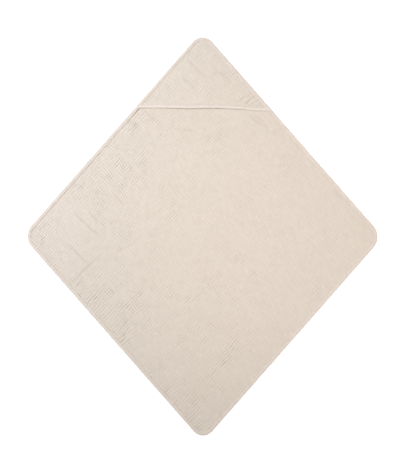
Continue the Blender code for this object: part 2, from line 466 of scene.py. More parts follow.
class Shading:
    """A new material, whose node tree is built up one node at a time."""

    def __init__(self, name: str) -> None:
        """Makes the material of this name, with nothing in it but its surface."""
        self.material = bpy.data.materials.new(name)
        self.material.use_nodes = True

    def fill(self, node: Node, **inputs: object) -> None:
        """Gives a node's inputs their values and links.

        Args:
            node: the node.
            inputs: values or output sockets by input name, with _ for a space, or i0, i1 for its number.
        """
        for name, value in inputs.items():
            numbered = name[0] == "i" and name[1:].isdigit()
            socket = node.inputs[int(name[1:]) if numbered else name.replace("_", " ")]
            if isinstance(value, NodeSocket):
                self.material.node_tree.links.new(value, socket)
            else:
                socket.default_value = value

    def add(self, kind: str, output: int | str = 0, **values: object) -> NodeSocket:
        """Adds a shader node, with its settings, its values and its links.

        Args:
            kind: the node's type name, without "ShaderNode".
            output: the output to hand back, by number or name.
            values: the node's own properties by name, and its inputs as fill takes them.

        Returns:
            That output of the new node.
        """
        node = self.material.node_tree.nodes.new("ShaderNode" + kind)
        settings = [name for name in values if hasattr(node, name)]
        for name in settings:
            setattr(node, name, values.pop(name))
        self.fill(node, **values)
        return node.outputs[output]

    def covered(self, **inputs: object) -> Material:
        """Gives the material's surface its inputs, as fill takes them, and hands the material back."""
        self.fill(self.material.node_tree.nodes["Principled BSDF"], **inputs)
        return self.material


@dataclass(frozen=True)
class WovenFinish:
    """Plain-woven cotton: undyed warm oatmeal, matt, with soft loose threads."""

    name: str
    shade: str
    deep_shade: str
    thread: float  # spacing of the drawn threads
    thread_relief: float
    check: float = 6.6 * MM  # pitch of the small checks that the gauze's two layers draw up into
    row_relief: float = 0.0
    rib_relief: float = 0.0
    # painted shade on the wrinkles' low checks and painted light on their high ones, as a share of the deeper
    # colour
    check_painted_shade: float = 0.0
    slub_rates: tuple[float, float] = (40.0, 420.0)  # thick threads to a metre, along them and across
    cloud_rate: float = 9.0
    roughness: float = 0.95

    def wrinkles(self, shading: Shading, turn: float) -> NodeSocket:
        """Adds short, even wrinkles that swing round 0, fade in and out, and follow the cloth's busyness.

        Args:
            shading: the material that is being built.
            turn: the direction in which they follow each other, as an angle from the warp.

        Returns:
            The wrinkles' height.
        """
        cloth = shading.add("UVMap", uv_map=CLOTH_MAP)
        busy = shading.add("Attribute", "Fac", attribute_name=BUSY)
        waves = {"Scale": 1 / (WRINKLES_IN_A_PATCH * self.check), "Frequency": WRINKLES_IN_A_PATCH}
        noise = shading.add("TexGabor", Vector=cloth, Orientation=turn, **waves)
        centred = shading.add("Math", operation="SUBTRACT", i0=noise, i1=0.5)
        return shading.add("Math", operation="MULTIPLY", i0=centred, i1=busy)

    def depth(self, shading: Shading, cloth: NodeSocket) -> NodeSocket:
        """Adds the uneven colour that thick threads and the yarn's own clouds give.

        Args:
            shading: the material that is being built.
            cloth: the place on the cloth.

        Returns:
            How much deeper the colour is than the cloth's own shade, round 0.
        """
        low, high = self.slub_rates
        slubs = []
        for rates in ((low, high, 1.0), (high, low, 1.0)):
            threads = shading.add("Mapping", Vector=cloth, Scale=rates)
            slubs.append(shading.add("TexNoise", Vector=threads, Scale=1.0, Detail=2.0))
        both = shading.add("Math", operation="ADD", i0=slubs[0], i1=slubs[1])
        cloudy = shading.add("TexNoise", Vector=cloth, Scale=self.cloud_rate, Detail=3.0)
        deep = shading.add("MapRange", Value=both, From_Min=0.7, From_Max=1.3, To_Min=-0.18, To_Max=0.18)
        cloud = shading.add("MapRange", Value=cloudy, From_Min=0.3, From_Max=0.7, To_Min=-0.03, To_Max=0.03)
        return shading.add("Math", operation="ADD", i0=deep, i1=cloud)

    def material(self) -> Material:
        """Builds the cotton's material.

        The eye gets a matt, slightly fuzzy cloth with thicker threads here and there. Painted shade deepens
        the colour in its crinkles' valleys and the wrinkles' low checks, and painted light lightens their
        tops.

        Returns:
            The material.
        """
        shading = Shading(self.name)
        cloth = shading.add("UVMap", uv_map=CLOTH_MAP)
        painted_shade = shading.add("Attribute", "Fac", attribute_name=PAINTED_SHADE)
        ribs = self.wrinkles(shading, 0.0)
        rows = self.wrinkles(shading, math.pi / 2)
        checks = shading.add("Math", operation="ADD", i0=ribs, i1=rows)
        # painted shade from the vertex mark, with painted light and shade on the wrinkles' checks
        painted_share = shading.add("Math", operation="MULTIPLY_ADD", i0=checks, i1=-self.check_painted_shade, i2=painted_shade)
        added = self.depth(shading, cloth)
        total = shading.add("Math", operation="ADD", use_clamp=True, i0=added, i1=painted_share)
        shades = shading.add("MixRGB", Fac=total, Color1=linear(self.shade), Color2=linear(self.deep_shade))

        grid = shading.add("Mapping", Vector=cloth, Scale=(1 / self.thread, 1 / self.thread, 1.0))
        drawn = {"Vector": grid, "Scale": ONE_BAND, "Distortion": 1.2, "Detail": 1.0}
        warps, wefts = (shading.add("TexWave", "Fac", bands_direction=axis, **drawn) for axis in "XY")
        woven = shading.add("Math", operation="MULTIPLY", i0=warps, i1=wefts)
        ribbed = shading.add("Bump", Strength=1.0, Distance=self.rib_relief, Height=ribs)
        rippled = shading.add("Bump", Strength=1.0, Distance=self.row_relief, Height=rows, Normal=ribbed)
        weave = shading.add("Bump", Strength=1.0, Distance=self.thread_relief, Height=woven, Normal=rippled)
        fuzz = {"Sheen_Weight": 0.08, "Sheen_Roughness": 0.6}
        look = {"Roughness": self.roughness, "Specular_IOR_Level": 0.25, **fuzz}
        return shading.covered(Base_Color=shades, Normal=weave, **look)


@dataclass(frozen=True)
class TerryFinish:
    """Cotton terry: a dense pile of uncut loops, matt and deep."""

    name: str = "looped_cotton_terry"
    shade: str = "E9DDD0"
    deep_shade: str = "CDBCAB"
    loop: float = 2.2 * MM  # real loops stand about 1.6 mm apart; wider ones show
    loop_relief: float = 0.9 * MM

    def material(self) -> Material:
        """Builds the terry's material. The eye gets small round loops in loose rows, with painted shade in
        their gaps.

        Returns:
            The material.
        """
        shading = Shading(self.name)
        cloth = shading.add("UVMap", uv_map=CLOTH_MAP)
        grid = shading.add("Mapping", Vector=cloth, Scale=(1 / self.loop, 1 / self.loop, 1.0))
        loops = shading.add("TexVoronoi", "Distance", Vector=grid, Scale=1.0, Randomness=0.8)
        tufts = shading.add("TexNoise", Vector=grid, Scale=0.35, Detail=3.0)
        rounded = shading.add("MapRange", Value=loops, From_Min=0.0, From_Max=0.75, To_Min=1.0, To_Max=0.0)
        # painted shade in the gaps between the loops; the leaning tufts are the pile's own uneven tone
        gaps = shading.add("MapRange", Value=loops, From_Min=0.35, From_Max=0.9, To_Min=0.0, To_Max=0.8)
        leaning = shading.add("MapRange", Value=tufts, From_Min=0.35, From_Max=0.65, To_Min=-0.1, To_Max=0.25)
        depth = shading.add("Math", operation="ADD", use_clamp=True, i0=gaps, i1=leaning)
        shades = shading.add("MixRGB", Fac=depth, Color1=linear(self.shade), Color2=linear(self.deep_shade))
        pile = shading.add("Bump", Strength=1.0, Distance=self.loop_relief, Height=rounded)
        fuzz = {"Sheen_Weight": 0.2, "Sheen_Roughness": 0.7}
        look = {"Roughness": 1.0, "Specular_IOR_Level": 0.15, **fuzz}
        return shading.covered(Base_Color=shades, Normal=pile, **look)


@dataclass(frozen=True)
class ThreadFinish:
    """Spun sewing thread or satin ribbon: smoother than the cloth, with a fine twist."""

    name: str
    shade: str
    deep_shade: str
    twist: float
    relief: float
    roughness: float

    def material(self) -> Material:
        """Builds the material. The eye gets a faint lustre that the fine diagonal twist breaks up.

        Returns:
            The material.
        """
        shading = Shading(self.name)
        place = shading.add("TexCoord", "Object")
        scaled = shading.add("Mapping", Vector=place, Scale=(1 / self.twist,) * 3)
        bands = {"Vector": scaled, "Scale": ONE_BAND, "Distortion": 0.6}
        plies = shading.add("TexWave", "Fac", bands_direction="DIAGONAL", **bands)
        # painted shade in the grooves between the plies, painted light on their crowns
        shades = shading.add("MixRGB", Fac=plies, Color1=linear(self.deep_shade), Color2=linear(self.shade))
        bump = shading.add("Bump", Strength=1.0, Distance=self.relief, Height=plies)
        look = {"Roughness": self.roughness, "Specular_IOR_Level": 0.4}
        return shading.covered(Base_Color=shades, Normal=bump, **look)


class Finish(Enum):
    """The towel's finishes, each with the record's slot that it belongs to."""

    MUSLIN = "muslin"
    TERRY = "terry"
    TAPE = "bias_tape"
    THREAD = "thread"
    SATIN = "label_satin"

    @cache
    def material(self) -> Material:
        """The finish's material, made once."""
        return RECIPES[self].material()


RECIPES = {
    # Double gauze muslin, washed so that it crinkles. Real threads are 0.5 mm apart; wider ones show.
    Finish.MUSLIN: WovenFinish(
        "washed_gauze_muslin",
        "F1E5D9",
        "CCBCAC",
        thread=1.0 * MM,
        thread_relief=0.12 * MM,
        row_relief=0.5 * MM,
        rib_relief=1.1 * MM,
        check_painted_shade=0.9,
    ),
    Finish.TERRY: TerryFinish(),
    # The same gauze cut on the bias and folded, so it lies smoother.
    Finish.TAPE: WovenFinish(
        "gauze_bias_tape", "F1E5DB", "CBB9A9", thread=0.9 * MM, thread_relief=0.1 * MM, rib_relief=0.2 * MM
    ),
    # Matched polyester thread.
    Finish.THREAD: ThreadFinish("spun_sewing_thread", "F0E4D8", "DCCCBC", 0.6 * MM, 0.05 * MM, 0.65),
    # Blank woven satin ribbon, off-white.
    Finish.SATIN: ThreadFinish("satin_ribbon", "F1EFEA", "E4E1DA", 0.7 * MM, 0.03 * MM, 0.4),
}


def dress(piece: Object, finish: Finish, *nodes: str) -> Object:
    """Gives a piece its material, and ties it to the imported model.

    Args:
        piece: the piece.
        finish: its finish.
        nodes: the CAD nodes that it stands for.

    Returns:
        The same piece.
    """
    piece.data.materials.clear()
    piece.data.materials.append(finish.material())
    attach(piece, BODY)
    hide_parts(*nodes)
    LOG.info("%s: %d faces, stands for %s", piece.name, len(piece.data.polygons), ", ".join(nodes))
    return piece


# ---------------------------------------------------------------- panels


@dataclass
class TowelBody:
    """The two square panels: crinkled muslin over a terry backing."""

    raw_edge: float = 2.0 * MM  # the raw edges stop this far inside the fold of the tape
    sewn_height: float = 2.65 * MM  # the face's height where the tape grips it
    open_height: float = 2.9 * MM
    swell: float = 34 * MM  # the face reaches its full height this far inside the tape
    backing_height: float = 0.05 * MM
    backing_rise: float = 0.95 * MM  # how much higher the tape holds the backing's edge
    warp_faces: int = 226
    weft_faces: int = 434
    backing_faces: int = 150
    wave_height: float = 0.04 * MM
    fine_rows: Relief = Relief(6.6 * MM, 16 * MM, turn=0.02, seed=3)
    wide_rows: Relief = Relief(8.2 * MM, 18 * MM, turn=-0.03, seed=4)
    pressed_rows: Relief = Relief(24 * MM, 34 * MM, turn=math.radians(88), looseness=0.3, seed=5)
    fine_height: float = 0.10 * MM
    wide_height: float = 0.12 * MM
    pressed_height: float = 0.01 * MM
    hood_press: float = 0.7  # share of the crinkles that the hood presses flat
    # painted shade along the step just inside the tape's inner edge
    seam_painted_shade: float = 0.15
    busy_spots: Sequence[tuple[float, float, float, float]] = (  # place, reach and extra crinkling
        (-0.190, 0.170, 0.08, 0.45),
        (-0.335, 0.180, 0.06, 0.30),
        (-0.240, 0.030, 0.09, 0.30),
        (-0.395, -0.005, 0.05, -0.35),
        (-0.480, 0.000, 0.04, 0.90),
        (-0.250, -0.220, 0.09, 0.65),
        (0.030, 0.250, 0.06, 0.60),
        (0.227, -0.020, 0.06, 0.40),
        (0.110, 0.311, 0.06, -0.20),
        (0.050, -0.110, 0.08, 0.30),
        (0.030, -0.300, 0.08, 0.25),
        (0.000, -0.500, 0.09, 0.50),
    )
    creases: Sequence[Crease] = (
        Crease((-0.370, 0.062), (-0.306, 0.004), 5.0 * MM, 0.50 * MM),
        Crease((-0.396, -0.020), (-0.344, -0.072), 5.0 * MM, 0.45 * MM),
        Crease((-0.332, 0.071), (-0.306, 0.042), 4.5 * MM, 0.45 * MM),
        Crease((-0.262, 0.127), (-0.232, 0.094), 4.5 * MM, 0.45 * MM),
        Crease((-0.273, -0.149), (-0.259, -0.169), 4.5 * MM, 0.54 * MM),
        Crease((-0.386, -0.137), (-0.309, -0.061), 4.0 * MM, 0.41 * MM),
        Crease((-0.372, -0.148), (-0.352, -0.128), 3.5 * MM, 0.54 * MM),
        Crease((-0.241, -0.137), (-0.235, -0.143), 5.0 * MM, 0.54 * MM),
        Crease((-0.166, 0.364), (-0.142, 0.340), 4.5 * MM, 0.45 * MM),
        Crease((-0.150, 0.362), (-0.128, 0.336), 4.0 * MM, 0.27 * MM),
        Crease((0.134, 0.356), (0.172, 0.326), 5.0 * MM, 0.45 * MM),
        Crease((0.154, 0.356), (0.190, 0.318), 5.0 * MM, 0.32 * MM),
        Crease((0.054, -0.381), (0.069, -0.362), 4.0 * MM, 0.45 * MM),
        Crease((0.380, 0.140), (0.410, 0.108), 4.5 * MM, 0.27 * MM),
    )

    def busyness(self, warp: Array, weft: Array) -> Array:
        """Tells how strongly the face is crinkled: most at the left, beside its seams and below the hood.

        Args:
            warp: the points' warp.
            weft: their weft.

        Returns:
            The crinkles' strength at each point.
        """
        x, y = PATTERN.seen(warp, weft)
        at_left = 1 - smooth(x, -0.32, 0.16)
        beside_seam = 1 - smooth(PATTERN.half - np.maximum(-warp, weft), 12 * MM, 70 * MM)
        below_hood = smooth(y, 0.15, 0.33) * (1 - smooth(x, 0.02, 0.12))
        patches = Patches(30 * MM, 1.3, seed=21).at(warp, weft)
        spots = sum(
            gain * np.exp(-((x - at_x) ** 2 + (y - at_y) ** 2) / reach**2)
            for at_x, at_y, reach, gain in self.busy_spots
        )
        busy = 0.18 + 0.52 * at_left + 0.35 * beside_seam + 0.35 * below_hood + 0.26 * patches + spots
        return np.clip(busy, 0.04, 1.9)

    def crinkles(self, warp: Array, weft: Array, busy: Array) -> Array:
        """Raises the crinkles, finer in the towel's upper half and wider in its lower one.

        Args:
            warp: the points' warp.
            weft: their weft.
            busy: the crinkles' strength there.

        Returns:
            Their heights.
        """
        fine = crumpled(self.fine_rows.at(warp, weft))
        wide = crumpled(self.wide_rows.at(warp, weft))
        low = 0.8 * (1 - smooth(warp + weft, -0.3, 0.0))
        rows = self.fine_height * fine * (1 - low) + self.wide_height * wide * low
        return rows * busy + self.pressed_height * self.pressed_rows.at(warp, weft)

    @property
    def reach(self) -> float:
        """How far from the middle the panels' raw edges lie."""
        return PATTERN.half - self.raw_edge

    def face_shape(self, first: Array, second: Array) -> Shaped:
        """Bends the grid of the muslin face. See grid_piece.

        Args:
            first: each corner's share along the warp.
            second: its share along the weft.

        Returns:
            The places, the cloth map and the marks.
        """
        warp, weft, inset = PATTERN.spread(first, second, -self.reach, self.reach)
        tape = PATTERN.tape_width
        free = smooth(inset, tape - 1 * MM, tape + self.swell)
        grip = smooth(inset, tape - 2 * MM, tape + 1.5 * MM)
        covered = smooth(PATTERN.behind_mouth(warp, weft), -4 * MM, 8 * MM)
        left = 1 - self.hood_press * covered
        busy = self.busyness(warp, weft)
        crinkle = self.crinkles(warp, weft, busy) * left
        waves = Patches(150 * MM, 1.2, seed=8).at(warp, weft) * self.wave_height
        height = self.sewn_height + (self.open_height - self.sewn_height) * free
        place = PATTERN.laid(warp, weft, height)
        pressed = sum(crease.at(place[:, 0], place[:, 1]) for crease in self.creases)
        place[:, 2] += grip * crinkle + free * (1 - covered) * (waves + pressed)
        # painted shade: a dark line just inside the tape, and deeper colour in the crinkles' valleys and the
        # creases; painted light on the crinkles' tops
        seam = self.seam_painted_shade * np.exp(-(((inset - tape - 1.2 * MM) / (1.4 * MM)) ** 2))
        painted_shade = LEVEL_SHADE + seam - crinkle / SHADED_DEPTH - pressed / (1.6 * MM)
        marks = {PAINTED_SHADE: np.clip(painted_shade, 0, MOST_SHADE), BUSY: busy * left}
        return place, np.stack((warp, weft), axis=1), marks

    def backing_shape(self, first: Array, second: Array) -> Shaped:
        """Bends the grid of the terry backing, whose pile rests on the floor. See grid_piece.

        Args:
            first: each corner's share along the warp.
            second: its share along the weft.

        Returns:
            The places, the cloth map and no marks.
        """
        warp, weft, inset = PATTERN.spread(first, second, -self.reach, self.reach)
        held = 1 - smooth(inset, PATTERN.tape_width - 1 * MM, PATTERN.tape_width + self.swell / 2)
        tufts = np.abs(Patches(14 * MM, seed=31).at(warp, weft))
        height = self.backing_height + self.backing_rise * held + 0.22 * MM * tufts * (1 - held)
        return PATTERN.laid(warp, weft, height), np.stack((warp, weft), axis=1), {}

    def build(self) -> tuple[Object, Object]:
        """Makes the face and the backing.

        Returns:
            The face and the backing, dressed.
        """
        face = grid_piece("crinkled_muslin_face", self.warp_faces, self.weft_faces, self.face_shape)
        count = self.backing_faces
        backing = grid_piece("terry_back", count, count, self.backing_shape, flip=True)
        return dress(face, Finish.MUSLIN, "muslin_face"), dress(backing, Finish.TERRY, "terry_backing")


@dataclass
class TapeSection:
    """Section of folded bias tape: a channel round the raw edges, with a rounded fold."""

    width: float = 10.9 * MM
    cloth: float = 0.4 * MM
    slant: float = 0.0  # how much lower the top lies at the tape's inner edge
    droop: float = 0.25 * MM  # how far the inner edge itself turns down
    crown: float = 0.04 * MM
    seat: float = 0.15 * MM  # how much lower the top lies than the fold's full height
    top_points: int = 7
    fold_points: int = 7
    bottom_points: int = 5
    stitch_inset: float = 9.3 * MM

    @property
    def count(self) -> int:
        """Points round the whole section."""
        return 2 * (self.top_points + self.fold_points + self.bottom_points)

    def skin(self, tall: Array, depth: float) -> list[tuple[Array, Array]]:
        """Points of the tape's skin, this deep inside its cloth, from the top over the fold to the underside.

        Args:
            tall: height of the tape at each station.
            depth: distance inside the outer skin.

        Returns:
            The points, each as inset and height at every station.
        """
        round_fold = tall / 2
        reach = self.width - depth * 0.3
        points = []
        for k in range(self.top_points):
            share = k / self.top_points
            inset = reach - (self.width - round_fold) * share
            droop = self.droop * max(1 - share * self.top_points / 1.2, 0) + self.slant * (1 - share)
            crown = self.crown * math.sin(math.pi * share) ** 2
            points.append((inset, tall - depth - droop - self.seat + crown))
        for k in range(self.fold_points):
            angle = math.pi * k / (self.fold_points - 1)
            radius = round_fold - depth
            points.append((round_fold - radius * math.sin(angle), round_fold + radius * math.cos(angle)))
        for k in range(1, self.bottom_points + 1):
            share = k / self.bottom_points
            points.append((round_fold + (reach - round_fold) * share, tall * 0 + depth))
        return points

    def wrap(self, first: Array, tall: Array) -> tuple[Array, Array]:
        """Wraps a grid's points round the section.

        Args:
            first: each point's share of the way round.
            tall: height of the tape at each point.

        Returns:
            Each point's inset and height.
        """
        points = self.skin(tall, 0.0) + self.skin(tall, self.cloth)[::-1]
        insets, heights = (np.stack(side) for side in zip(*points))
        row = np.rint(first * self.count).astype(int) % self.count
        station = np.arange(len(first))
        return insets[row, station], heights[row, station]

    def groove(self, inset: Array) -> Array:
        """How deep in the groove of the stitches a point lies, 0 to 1."""
        return np.exp(-(((inset - self.stitch_inset) / (1.0 * MM)) ** 2))


@dataclass
class EdgeTape:
    """The bias tape round the towel's edge, with its row of stitches above and below."""

    section: TapeSection = field(default_factory=lambda: TapeSection(slant=0.1 * MM, droop=0.1 * MM))
    body_height: float = 3.2 * MM
    hood_height: float = 5.4 * MM
    gather: float = 0.16 * MM  # height of the puckers
    steps: int = 1500
    stitch: float = 3.0 * MM
    stitch_sink: float = 0.38 * MM  # how far the stitches sit below the tape's full height
    stitch_rest: float = 0.12 * MM  # height of the stitches under the tape
    strays: Sequence[tuple[int, float, float]] = (  # waves in one round, their size and their start
        (23, 0.3 * MM, 0.4),
        (41, 0.22 * MM, 1.9),
        (67, 0.18 * MM, 4.1),
        (113, 0.14 * MM, 2.6),
    )

    def tall(self, run: Array) -> Array:
        """The tape's height along the edge: it is thicker where it also holds the hood."""
        behind = PATTERN.behind_mouth(*PATTERN.edge(run, np.zeros_like(run)))
        return self.body_height + (self.hood_height - self.body_height) * smooth(behind, -34 * MM, 12 * MM)

    def wander(self, run: Array) -> Array:
        """How far the edge strays inwards from its line, as hand-guided sewing does."""
        turns = run / PATTERN.perimeter * math.tau
        return 0.3 * sum(size * (1 + np.sin(rate * turns + start)) for rate, size, start in self.strays)

    def pucker(self, run: Array) -> Array:
        """Gathers the tape in small puckers, about 7 mm apart, as the stitches pull it.

        Args:
            run: distance along the edge.

        Returns:
            The puckers there, from -1 to 1.
        """
        turns = run / PATTERN.perimeter * math.tau
        steady = np.sin(457 * turns + 2.2 * np.sin(31 * turns) + 1.3 * np.sin(53 * turns))
        strength = 0.55 + 0.45 * np.sin(19 * turns + 1.7 * np.sin(7 * turns))
        return steady * strength

    def place(self, run: Array, inset: Array, height: Array) -> Array:
        """Places of points on the tape, with its wander."""
        warp, weft = PATTERN.edge(run, inset + self.wander(run))
        return PATTERN.laid(warp, weft, height)

    def tape_shape(self, first: Array, second: Array) -> Shaped:
        """Bends the grid of the tape. See grid_piece.

        Args:
            first: each corner's share of the way round the section.
            second: its share of the way round the towel.

        Returns:
            The places, the cloth map and the marks.
        """
        run = second * PATTERN.perimeter
        inset, height = self.section.wrap(first, self.tall(run))
        upper = smooth(height, 1.2 * MM, 3.0 * MM)
        groove = self.section.groove(inset)
        pucker = self.pucker(run)
        lift = upper * (self.gather * pucker * smooth(inset, 1 * MM, 6 * MM) - 0.04 * MM * groove)
        edge_pull = 0.12 * MM * pucker * smooth(inset, 5 * MM, 0.5 * MM)
        place = self.place(run, inset + edge_pull, height + lift)
        # painted shade in the stitches' groove, in the puckers' folds and on the tape's underside, painted
        # light on the puckers' tops; 0.2 is a base share of the deeper colour
        painted_shade = np.clip(0.2 + upper * (0.05 * groove - 0.1 * pucker) + 0.1 * (1 - upper), 0, 1)
        return place, np.stack((run, inset), axis=1), {PAINTED_SHADE: painted_shade}

    def stitches(self) -> Object:
        """Makes the lock stitches: one row on the tape's top and one under it.

        Returns:
            The stitches, undressed.
        """
        count = round(PATTERN.perimeter / self.stitch)
        run = (np.arange(count) + 0.5) * PATTERN.perimeter / count
        half = STITCH_REACH * self.stitch
        above = self.tall(run) - self.stitch_sink + self.gather * self.pucker(run)
        inset = self.section.stitch_inset
        rows = []
        for height in (above, run * 0 + self.stitch_rest):
            rows.append([self.place(run + side * half, inset, height) for side in (-1, 1)])
        return stitch_row("edge_lock_stitches", rows)

    def build(self) -> tuple[Object, Object]:
        """Makes the tape and its stitches.

        Returns:
            The tape and the stitches, dressed.
        """
        tape = grid_piece("edge_bias_tape", self.section.count, self.steps, self.tape_shape, welded=True)
        dress(tape, Finish.TAPE, "edge_binding")
        return tape, dress(self.stitches(), Finish.THREAD, "edge_stitching")


@dataclass
class Hood:
    """The lined triangle over the towel's top corner, with its bound front edge."""

    raw_edge: float = 2.0 * MM
    leg: float = 0.294  # the sides of its triangle, cut flat
    sewn_height: float = 4.2 * MM  # middle of the hood's two layers where the edge tape grips them
    open_height: float = 4.5 * MM  # middle of the two layers in the open
    lift: float = 1.8 * MM  # how much higher the mouth's middle stands
    half_gap: float = 0.55 * MM  # from the middle of the two layers to each of them
    puff: float = 0.2 * MM  # how much further apart they stand away from their seams
    rows: Relief = Relief(6.6 * MM, 16 * MM, turn=0.03)
    row_height: float = 0.10 * MM
    rumple_height: float = 0.04 * MM
    faces: int = 200
    section: TapeSection = field(default_factory=lambda: TapeSection(width=10.8 * MM, stitch_inset=8.8 * MM))
    tape_height: float = 2.8 * MM
    tape_start: float = 3 * MM  # the front edge's level is read this far behind it
    mouth_length: float = 0.39
    mouth_steps: int = 260
    stitched_length: float = 0.375
    stitch_margin: float = 0.024  # share of the mouth at each end that the stitches leave
    stitch: float = 3.0 * MM
    stitch_sink: float = 0.2 * MM
    strays: Sequence[tuple[float, float, float]] = (  # share of the mouth, reach, and millimetres set back
        (0.0, 0.05, -2.6),
        (0.10, 0.17, -2.6),
        (0.38, 0.14, -1.9),
        (0.57, 0.14, 1.7),
        (0.92, 0.10, -3.6),
    )
    creases: Sequence[Crease] = (
        Crease((0.118, 0.384), (0.155, 0.414), 4.5 * MM, 0.48 * MM),
        Crease((0.100, 0.392), (0.148, 0.424), 4.5 * MM, 0.36 * MM),
        Crease((0.134, 0.382), (0.166, 0.404), 4.0 * MM, 0.48 * MM),
        Crease((-0.060, 0.470), (-0.020, 0.430), 6.0 * MM, 0.30 * MM),
        Crease((-0.045, 0.520), (0.004, 0.470), 7.0 * MM, 0.30 * MM),
        Crease((0.030, 0.500), (0.080, 0.455), 7.0 * MM, 0.24 * MM),
    )

    @property
    def near_corner(self) -> float:
        """Warp or weft of the grid's lower corner, past where the hood's front edge meets the sides."""
        widest = PATTERN.hood_line / PATTERN.pulls[1] / ROOT_HALF - PATTERN.half
        return widest - 12 * MM

    @property
    def far_corner(self) -> float:
        """Warp or weft of the grid's upper corner, where the raw edges meet."""
        return PATTERN.half - self.raw_edge

    def middle(self, warp: Array, weft: Array) -> Array:
        """Finds the middle between the hood's two layers, without crinkles.

        Args:
            warp: the points' warp.
            weft: their weft.

        Returns:
            Its height at each point.
        """
        tape = PATTERN.tape_width
        free = smooth(PATTERN.inset(warp, weft), tape - 1 * MM, tape + 26 * MM)
        from_left = np.maximum(PATTERN.half - weft - tape, 0)
        from_right = np.maximum(PATTERN.half - warp - tape, 0)
        bridge = np.clip(from_left * from_right / (PATTERN.half - PATTERN.hood_line / 2) ** 2 / 0.42, 0, 1)
        open_rise = (self.open_height - self.sewn_height) * free
        return self.sewn_height + open_rise + self.lift * smooth(bridge, 0.3, 1)

    def busyness(self, warp: Array, weft: Array, seed: int) -> Array:
        """Tells how strongly one of the hood's layers is crinkled: most at the ends of its front edge.

        Args:
            warp: the points' warp.
            weft: their weft.
            seed: the layer's seed.

        Returns:
            The crinkles' strength at each point.
        """
        beside_seam = 1 - smooth(PATTERN.inset(warp, weft), 12 * MM, 60 * MM)
        near_ends = smooth(np.abs(warp - weft), 0.06, 0.2)
        patches = Patches(30 * MM, 1.3, seed=seed).at(warp, weft)
        return np.clip(0.18 + 0.3 * beside_seam + 0.55 * near_ends + 0.16 * patches, 0.04, 1.9)

    def cut_line(self, setback: float) -> tuple[Vector, Vector]:
        """Draws the hood's front edge in the flat grid's own frame.

        Args:
            setback: how far behind the front edge the cloth is cut.

        Returns:
            A point on the line, and the direction to cut away.
        """
        wide, long = PATTERN.pulls
        slope = PATTERN.hood_slope
        away = Vector((-(long - slope * wide), -(long + slope * wide), 0.0)).normalized()
        level = math.sqrt(2) * (PATTERN.hood_line + setback) / (2 * long)
        share = (level - self.near_corner) / (self.far_corner - self.near_corner)
        return Vector((share, share, 0.0)), away

    def layer_shape(self, first: Array, second: Array, side: int, seed: int) -> Shaped:
        """Bends the grid of one of the hood's layers. See grid_piece.

        Args:
            first: each corner's share along the warp.
            second: its share along the weft.
            side: 1 for the upper layer, and -1 for the lining.
            seed: the layer's seed.

        Returns:
            The places, the cloth map and the marks.
        """
        warp, weft, inset = PATTERN.spread(first, second, self.near_corner, self.far_corner)
        grip = smooth(inset, PATTERN.tape_width - 2 * MM, PATTERN.tape_width + 3 * MM)
        behind = PATTERN.behind_mouth(warp, weft)
        loose = grip * smooth(behind, self.section.width - 1.5 * MM, self.section.width + 5 * MM)
        busy = self.busyness(warp, weft, seed)
        rows = self.row_height * busy * crumpled(replace(self.rows, seed=seed + 1).at(warp, weft))
        x, y = PATTERN.seen(warp, weft)
        pressed = sum(crease.at(x, y) for crease in self.creases)
        rumple = self.rumple_height * Patches(38 * MM, 1.6, seed=seed + 2).at(warp, weft) + pressed
        relief = loose * (rows + rumple * smooth(inset, 8 * MM, 30 * MM))
        height = self.middle(warp, weft) + side * (self.half_gap + self.puff * loose) + relief
        # painted shade in the crinkles' valleys, the rumples and the creases, and painted light on their tops
        painted_shade = LEVEL_SHADE - loose * (rows / SHADED_DEPTH + rumple / (2.0 * MM))
        marks = {PAINTED_SHADE: np.clip(painted_shade, 0, MOST_SHADE), BUSY: busy}
        return PATTERN.laid(warp, weft, height), np.stack((warp, weft), axis=1), marks

    def mouth_point(self, share: Array, setback: Array) -> tuple[Array, Array]:
        """Finds points beside the hood's front edge.

        Args:
            share: 0 at the left end, inside the edge tape, to 1 at the right end.
            setback: distance behind the front edge.

        Returns:
            Their warp and weft.
        """
        wide, long = PATTERN.pulls
        tip = (PATTERN.half - 3.0 * MM) / ROOT_HALF
        ends = []
        for side in (-1, 1):
            slope = side * PATTERN.hood_slope * wide
            y = (PATTERN.hood_line + setback + slope * tip) / (long + slope)
            ends.append((side * (tip - y), y))
        x, y = (left * (1 - share) + right * share for left, right in zip(*ends))
        return (x + y) * ROOT_HALF, (y - x) * ROOT_HALF

    def waver(self, share: Array) -> Array:
        """How far back the front edge strays from its straight line, with a sag at both its ends."""
        slow = sum(size * np.exp(-(((share - at) / reach) ** 2)) for at, reach, size in self.strays)
        return (-0.3 + slow + 0.15 * np.sin(41 * share + 1)) * MM

    def tape_shape(self, first: Array, second: Array) -> Shaped:
        """Bends the grid of the hood's tape. See grid_piece.

        Args:
            first: each corner's share of the way round the section.
            second: its share of the way along the mouth.

        Returns:
            The places, the cloth map and the marks.
        """
        edge_warp, edge_weft = self.mouth_point(second, self.tape_start)
        squeezed = 1 - 0.25 * (1 - smooth(PATTERN.inset(edge_warp, edge_weft), 5 * MM, 14 * MM))
        tall = self.tape_height * squeezed
        setback, height = self.section.wrap(first, tall)
        warp, weft = self.mouth_point(second, setback + self.waver(second))
        gather = np.sin(second * 330 + 2.0 * np.sin(second * 21)) * (0.6 + 0.4 * np.sin(second * 37))
        upper = smooth(height, 1.0 * MM, 2.2 * MM)
        groove = self.section.groove(setback)
        lift = upper * (0.14 * MM * gather - 0.28 * MM * groove)
        level = self.middle(edge_warp, edge_weft) - tall / 2 + height + lift
